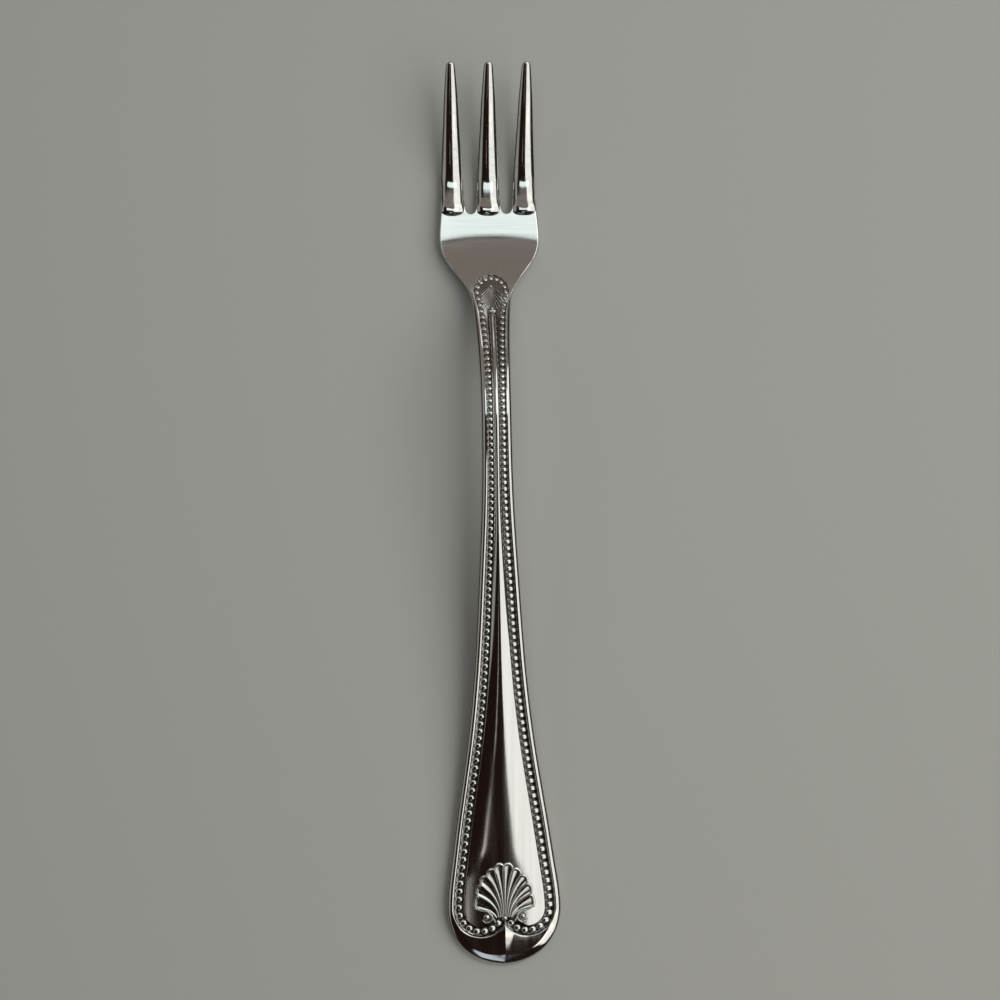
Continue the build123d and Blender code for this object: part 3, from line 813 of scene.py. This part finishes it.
def addCord(sheet, px, py, radius, base, tall, square=1.0):
    # cord of metal along points, over a base height; square below 1 flattens its top
    runX, runY = np.gradient(px), np.gradient(py)
    norm = np.hypot(runX, runY)
    number = np.arange(len(px))
    fromEnd = np.minimum(number, len(px) - 1 - number)
    ends = np.sqrt(np.clip(fromEnd / cord["endPoints"], cord["endLeast"], 1))
    turn = 2 * np.pi * np.arange(cord["sides"]) / cord["sides"]
    sideways = np.sign(np.cos(turn)) * np.abs(np.cos(turn)) ** square
    upward = np.sign(np.sin(turn)) * np.abs(np.sin(turn)) ** square
    size = (radius * ends)[:, None]
    x = px[:, None] - (runY / norm)[:, None] * size * sideways
    y = py[:, None] + (runX / norm)[:, None] * size * sideways
    z = base[:, None] + size * tall * upward
    # painted shade: the cord's sides and underside are darkened, its top is left bright
    addTube(sheet, stacked(x, y, z), np.clip(cord["shadeTop"] - np.sin(turn), 0, 1))


def makeNeckShell():
    sheet = newSheet()
    along = np.linspace(0, 1, lily["points"])
    collarY = lily["footY"] - lily["collarBelow"]
    y = mix(lily["apexY"], collarY, along)
    width = mix(lily["budTop"], lily["budFoot"], along ** lily["budSwell"])
    addCord(sheet, 0 * along, y, width, floorTop(y), lily["budTall"])
    bar = np.linspace(-1, 1, lily["collarPoints"]) * lily["collarHalf"]
    barY = np.full(len(bar), collarY)
    barBase = floorTop(barY) + lily["collarLift"]
    addCord(sheet, bar, barY, lily["collarThick"], barBase, lily["collarTall"], lily["collarSquare"])
    for side in (-1, 1):
        for rib, (reach, footY) in enumerate(lily["ribEnds"]):
            start = lily["ribStart"] + lily["ribApart"] * rib
            bend = mix(lily["bendLow"], lily["bendHigh"], rib / (len(lily["ribEnds"]) - 1))
            x = side * mix(start, reach, along**bend)
            y = mix(lily["apexY"], footY, along)
            width = mix(lily["ribThin"], lily["ribThick"], along)
            addCord(sheet, x, y, width, floorTop(y) + lily["ribLift"], lily["ribTall"])
    addBead(sheet, 0.0, lily["apexY"] + lily["knobAhead"], lily["knob"])
    makePiece("neckShell", sheet, steelCoined, ["neck_shell"])


makeNeckShell()

# fluted shell on the handle's end: petals by their edges in degrees and their reaches, with a stroke,
# a curl and a ball on each side
shell = {
    "hingeY": border["hingeY"], "edges": (0.0, 12.4, 24.6, 38.0, 54.0, 76.0),
    "reaches": (8.65, 7.95, 7.35, 6.45, 5.5), "notch": 0.09, "overlap": 1.06,
    "baseHalf": 1.4, "baseY": -64.75, "bend": 0.58, "bulge": 1.15,
    "petalCols": 27, "petalRows": 60, "endRows": 12,
    "height": 0.27, "rim": 0.28, "step": 0.2, "stepRise": 0.7, "wall": 0.3, "sunk": 0.15,
    "flute": 0.25, "fluteShape": 2.2, "fluteWide": 0.6, "fluteLeast": 0.25, "fluteShade": 0.4,
    "stroke": ((4.85, -62.45), (4.2, -63.3), (3.1, -63.55), (2.3, -64.1), (1.75, -65.0), (1.5, -65.5)),
    "strokeThick": 0.16, "strokeLift": 0.1, "strokeTall": 1.3, "strokePoints": 40,
    "curl": 0.9, "curlThick": 0.17, "curlLift": 0.06, "curlFrom": 60.0, "curlTo": 330.0, "curlPoints": 12,
    "ball": 0.6, "ballX": 2.9, "ballY": -64.5, "hub": 0.5,
    "ballTall": 0.9, "ballClose": 0.95, "ballShade": 0.7, "ballRings": 8, "ballSides": 20,
}


def addPetal(sheet, number, side):
    # flutes start side by side at the base and bend out towards their round ends
    edges = np.radians(shell["edges"])
    middles = (edges[1:] + edges[:-1]) / 2
    across = shell["overlap"] * np.sin(np.linspace(-1, 1, shell["petalCols"]) * np.pi / 2)[None, :]
    along = np.sin(np.linspace(0, 1, shell["petalRows"]) * np.pi / 2)[:, None]
    angle = mix(edges[number], edges[number + 1], (across + 1) / 2)
    reach = np.interp(angle, middles, shell["reaches"])
    roundness = np.sqrt(np.maximum(1 - (across / shell["overlap"]) ** 2, 0.0))
    t = along * (1 - shell["notch"] * (1 - roundness))
    startX = shell["baseHalf"] * angle / edges[-1]
    farY = shell["hingeY"] + reach * np.cos(angle)
    bendY = mix(shell["baseY"], farY, shell["bend"])
    x = (1 - t) ** 2 * startX + 2 * t * (1 - t) * startX * shell["bulge"] + t**2 * reach * np.sin(angle)
    y = (1 - t) ** 2 * shell["baseY"] + 2 * t * (1 - t) * bendY + t**2 * farY
    # how far a point lies inside the petal's end, and so on which part of its rim or flute
    before = -shell["endRows"]
    stretch = np.hypot(x[-1] - x[before], y[-1] - y[before]) / (along[-1] - along[before])
    inset = (1 - along) * stretch[None, :]
    rise = np.interp(inset / shell["rim"], (0.0, shell["step"], 1.0), (0.0, shell["stepRise"], 1.0))
    beyond = np.clip((np.abs(across) - 1) / (shell["overlap"] - 1), 0.0, 1.0)
    groove = np.maximum(1 - np.abs(across) ** shell["fluteShape"], 0.0)
    groove = groove * softStep((inset - shell["rim"]) / shell["wall"])
    half = np.hypot(x[:, -1] - x[:, 0], y[:, -1] - y[:, 0])[:, None] / 2
    depth = shell["flute"] * np.clip(half / shell["fluteWide"], shell["fluteLeast"], 1.0)
    level = panelTop(x, y)
    base = level - shell["sunk"]
    top = level + shell["height"] * rise * (1 - beyond) - depth * groove
    top[0], top[-1] = base[0], base[-1]
    top[:, 0], top[:, -1] = base[:, 0], base[:, -1]
    # flutes darken towards their middles and the parts beyond a petal are dark: patina with painted shade
    hollow = np.clip(shell["fluteShade"] * groove + beyond, 0, 1)
    addGrid(sheet, stacked(side * x, y, top), hollow=hollow)
    addGrid(sheet, stacked(side * x, y, base), hollow=1.0)


def addStroke(sheet, path, thick, lift):
    # a raised line on the panel, smooth through a few places
    lengths = np.concatenate([[0], np.cumsum(np.linalg.norm(np.diff(path, axis=0), axis=1))])
    fine = np.linspace(0, lengths[-1], shell["strokePoints"])
    px = splineThrough(stacked(lengths, path[:, 0]))(fine)
    py = splineThrough(stacked(lengths, path[:, 1]))(fine)
    addCord(sheet, px, py, thick, panelTop(px, py) + lift, shell["strokeTall"])


def addBall(sheet, x, y, radius):
    turn = 2 * np.pi * np.arange(shell["ballSides"]) / shell["ballSides"]
    rise = np.concatenate([[0.0], np.linspace(0, np.pi / 2 * shell["ballClose"], shell["ballRings"])])
    level = shell["ballTall"] * radius * np.sin(rise)
    level[0] = -shell["sunk"]
    px = x + radius * np.cos(rise)[:, None] * np.cos(turn)
    py = y + radius * np.cos(rise)[:, None] * np.sin(turn)
    pz = panelTop(x, y) + level[:, None]
    # painted shade: the ball darkens from its top down to its foot
    addTube(sheet, stacked(px, py, pz), np.clip(1 - rise / shell["ballShade"], 0, 1)[:, None])


def makeTipShell():
    sheet = newSheet()
    stroke = np.array(shell["stroke"])
    curlTurn = np.radians(np.linspace(shell["curlFrom"], shell["curlTo"], shell["curlPoints"]))
    curlX = shell["ballX"] + shell["curl"] * np.cos(curlTurn)
    curlY = shell["ballY"] + shell["curl"] * np.sin(curlTurn)
    for side in (-1, 1):
        for number in range(len(shell["reaches"])):
            addPetal(sheet, number, side)
        addStroke(sheet, stroke * [side, 1], shell["strokeThick"], shell["strokeLift"])
        addStroke(sheet, stacked(side * curlX, curlY), shell["curlThick"], shell["curlLift"])
        addBall(sheet, side * shell["ballX"], shell["ballY"], shell["ball"])
    addBall(sheet, 0.0, shell["baseY"], shell["hub"])
    makePiece("tipShell", sheet, steelCoined, ["tip_shell"])


makeTipShell()

# floor, surroundings, lights and camera, in metres
studio = {
    "floorSize": 6.0, "floorDrop": 0.00005, "floorColor": (0.56, 0.55, 0.522, 1),
    "floorRough": 0.85, "floorShine": 0.2,
    "zenith": (0.016, 0.008, 0.006, 1), "far": (0.25, 0.222, 0.195, 1), "left": (0.36, 0.36, 0.35, 1),
    "horizon": (0.03, 0.027, 0.024, 1),
}
skyRegions = (
    # axis of the direction, where a region begins and where it is full, and its color in the studio
    ("Y", 0.303, 0.32, "far"),
    ("X", -0.69, -0.75, "left"),
    ("Z", 0.38, 0.24, "horizon"),
)
lamps = {
    # name: centre, target, size across and along, radiance, color
    "windowSide": ((0.488, -0.05, 0.62), (0.0, -0.05, 0.0), (0.8, 1.1), 1.36, (0.97, 1.0, 0.965)),
    "overheadStrip": ((0.02, 0.092, 0.36), (0.02, 0.092, 0.0), (0.36, 0.116), 1.45, (0.87, 1.0, 1.0)),
    "leftStrip": ((-0.06, -0.147, 0.36), (-0.06, -0.147, 0.0), (0.012, 0.056), 0.65, (1.0, 0.97, 0.93)),
    "frontLow": ((-0.038, -0.545, 0.34), (-0.038, -0.545, 0.0), (0.125, 0.35), 0.9, (0.78, 0.89, 1.0)),
    "farWindow": ((-0.07, 0.48, 0.35), (-0.07, 0.48, 0.0), (0.22, 0.1), 1.2, (1.0, 1.0, 1.0)),
    "warmFront": ((0.25, -0.275, 0.4), (0.25, -0.275, 0.0), (0.3, 0.08), 0.8, (1.0, 0.72, 0.52)),
}
cameraView = {
    "position": (-0.02169, -0.00236, 0.32),
    "yaw": -4.029, "pitch": -1.013, "roll": 1.232,  # degrees
    "focalPixels": 1964.1, "picturePixels": 1000, "sensor": 36.0, "nearest": 0.01,
}


def makeFloor():
    half = studio["floorSize"] / 2
    corners = [(-half, -half, 0), (half, -half, 0), (half, half, 0), (-half, half, 0)]
    mesh = bpy.data.meshes.new("floor")
    mesh.from_pydata(corners, [], [(0, 1, 2, 3)])
    floor = bpy.data.objects.new("floor", mesh)
    floor.location.z = -studio["floorDrop"]
    bpy.context.scene.collection.objects.link(floor)
    material = bpy.data.materials.new("paleFloor")
    material.use_nodes = True
    shader = material.node_tree.nodes["Principled BSDF"]
    shader.inputs["Base Color"].default_value = studio["floorColor"]
    shader.inputs["Roughness"].default_value = studio["floorRough"]
    shader.inputs["Specular IOR Level"].default_value = studio["floorShine"]
    mesh.materials.append(material)


def makeWorld():
    world = bpy.data.worlds.new("studioWorld")
    world.use_nodes = True
    bpy.context.scene.world = world
    tree = world.node_tree
    place = tree.nodes.new("ShaderNodeTexCoord").outputs["Generated"]
    split = addNode(tree, "ShaderNodeSeparateXYZ", {}, {"Vector": place})
    color = None
    for axis, start, full, region in skyRegions:
        share = remap(tree, split.outputs[axis], start, full)
        blend = blendColors(tree, share, studio["zenith"], studio[region])
        if color:  # each region lies over those before it
            tree.links.new(color, blend.inputs["A"])
        color = blend.outputs["Result"]
    tree.links.new(color, tree.nodes["Background"].inputs["Color"])


def setPlace(thing, position, right, up, back):
    turn = Matrix((right, up, back)).transposed().to_4x4()
    thing.matrix_world = Matrix.Translation(position) @ turn
    bpy.context.scene.collection.objects.link(thing)


def makeLamps():
    for name, (center, target, size, radiance, color) in lamps.items():
        data = bpy.data.lights.new(name, "AREA")
        data.shape = "RECTANGLE"
        data.size, data.size_y = size
        data.energy = radiance * math.pi * size[0] * size[1]
        data.color = color
        lamp = bpy.data.objects.new(name, data)
        lamp.visible_camera = False
        back = (Vector(center) - Vector(target)).normalized()
        acrossFork = Vector((0, 1, 0)).cross(back).normalized()
        setPlace(lamp, center, acrossFork, back.cross(acrossFork), back)


def makeCamera():
    data = bpy.data.cameras.new("photoCamera")
    data.sensor_width = cameraView["sensor"]
    data.lens = data.sensor_width * cameraView["focalPixels"] / cameraView["picturePixels"]
    data.clip_start = cameraView["nearest"]
    camera = bpy.data.objects.new("photoCamera", data)
    yaw, pitch, roll = (math.radians(cameraView[angle]) for angle in ("yaw", "pitch", "roll"))
    right = Vector((math.cos(roll), -math.sin(roll), 0))
    up = Vector((math.sin(roll), math.cos(roll), 0))
    back = (Vector((0, 0, 1)) + yaw * right + pitch * up).normalized()
    right = (right - back * right.dot(back)).normalized()
    setPlace(camera, cameraView["position"], right, back.cross(right), back)
    bpy.context.scene.camera = camera


makeFloor()
makeWorld()
makeLamps()
makeCamera()
bpy.context.scene.view_settings.view_transform = "Standard"
print("studio made")
